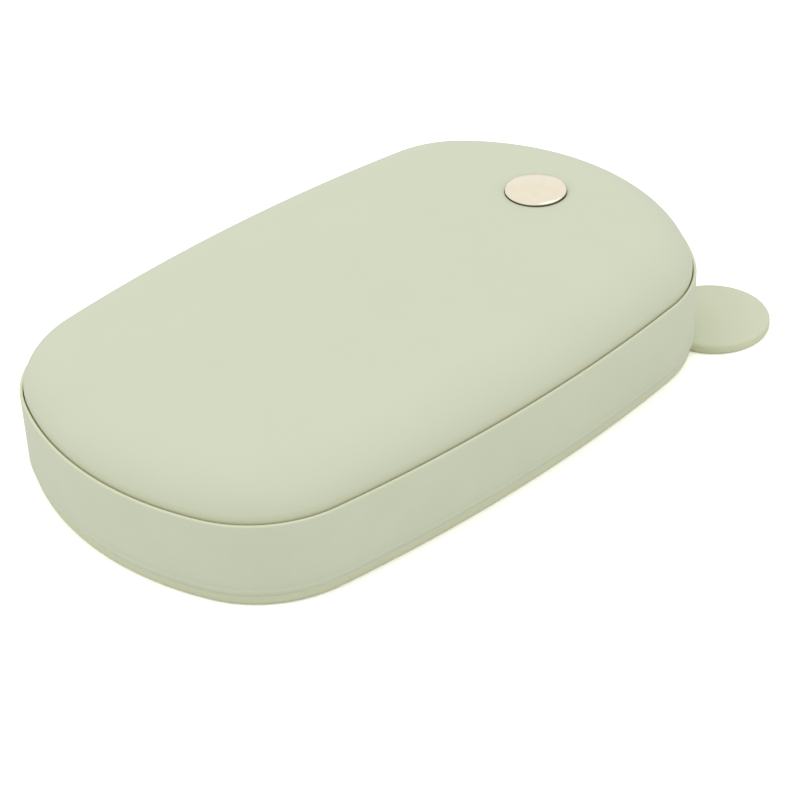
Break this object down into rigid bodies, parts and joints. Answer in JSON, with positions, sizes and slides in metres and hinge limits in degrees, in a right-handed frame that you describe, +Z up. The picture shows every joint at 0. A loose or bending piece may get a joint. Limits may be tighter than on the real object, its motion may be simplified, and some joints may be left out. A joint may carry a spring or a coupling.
{
  "type": "rechargeable hand warmer",
  "caption": "Pocket-sized rechargeable hand warmer with a domed rounded body, a straight side wall, small round ear tabs at one end and a gold stud on top",
  "frame": {"origin": "centre of the flat underside, on the surface that the hand warmer lies on, midway between the two ends of the body", "axes": "+X along the body towards the end with the ears and the charging socket, +Y across it, +Z up through the domed cover"},
  "size_m": [0.1169, 0.0694, 0.0227],
  "materials": {
    "base_plastic": "moulded sage green with a fine satin texture",
    "wall_plastic": "moulded sage green with a fine satin texture",
    "cover_plastic": "moulded sage green with a smooth soft-touch coat",
    "gold": "polished pale gold plating",
    "aluminium": "rolled sheet",
    "polyimide": "amber film over etched tracks",
    "inner_plastic": "moulded dark grey",
    "cell_pouch": "satin laminated pouch",
    "circuit_board": "green solder mask",
    "black_foam": "closed-cell foam",
    "steel": "nickel-plated",
    "black_plastic": "moulded black",
    "white_plastic": "moulded natural white",
    "clear_plastic": "translucent, lightly frosted",
    "ceramic": "fired ceramic chips",
    "red_wire": "silicone insulation",
    "black_wire": "silicone insulation"
  },
  "bodies": {
    "housing": {"bottom_cover": "base_plastic", "side_frame": "wall_plastic", "top_cover": "cover_plastic", "badge": "gold", "badge_tape": "black_foam", "top_heat_plate": "aluminium", "top_heater_film": "polyimide", "bottom_heat_plate": "aluminium", "bottom_heater_film": "polyimide", "battery_tray": "inner_plastic", "battery_cell": "cell_pouch", "battery_guard_board": "circuit_board", "battery_foam_pads": "black_foam", "main_board": "circuit_board", "usb_c_shell": "steel", "usb_c_tongue": "black_plastic", "switch_body": "black_plastic", "indicator_leds": "white_plastic", "light_guide": "clear_plastic", "power_inductor": "black_plastic", "charge_controller": "black_plastic", "heat_controller": "black_plastic", "heater_transistors": "black_plastic", "board_capacitors": "ceramic", "battery_connector": "white_plastic", "heater_connectors": "white_plastic", "thermal_fuse": "steel", "thermistors": "black_plastic", "tray_screws": "steel", "board_screws": "steel", "battery_leads": "red_wire", "heater_leads": "black_wire"},
    "power_button": {"button_cap": "wall_plastic", "switch_plunger": "white_plastic"}
  },
  "joints": [
    {"name": "power_button_press", "type": "slide", "parent": "housing", "child": "power_button", "axis": [-1, 0, 0], "range_m": [0, 0.0003], "stiffness_N_per_m": 1500}
  ]
}
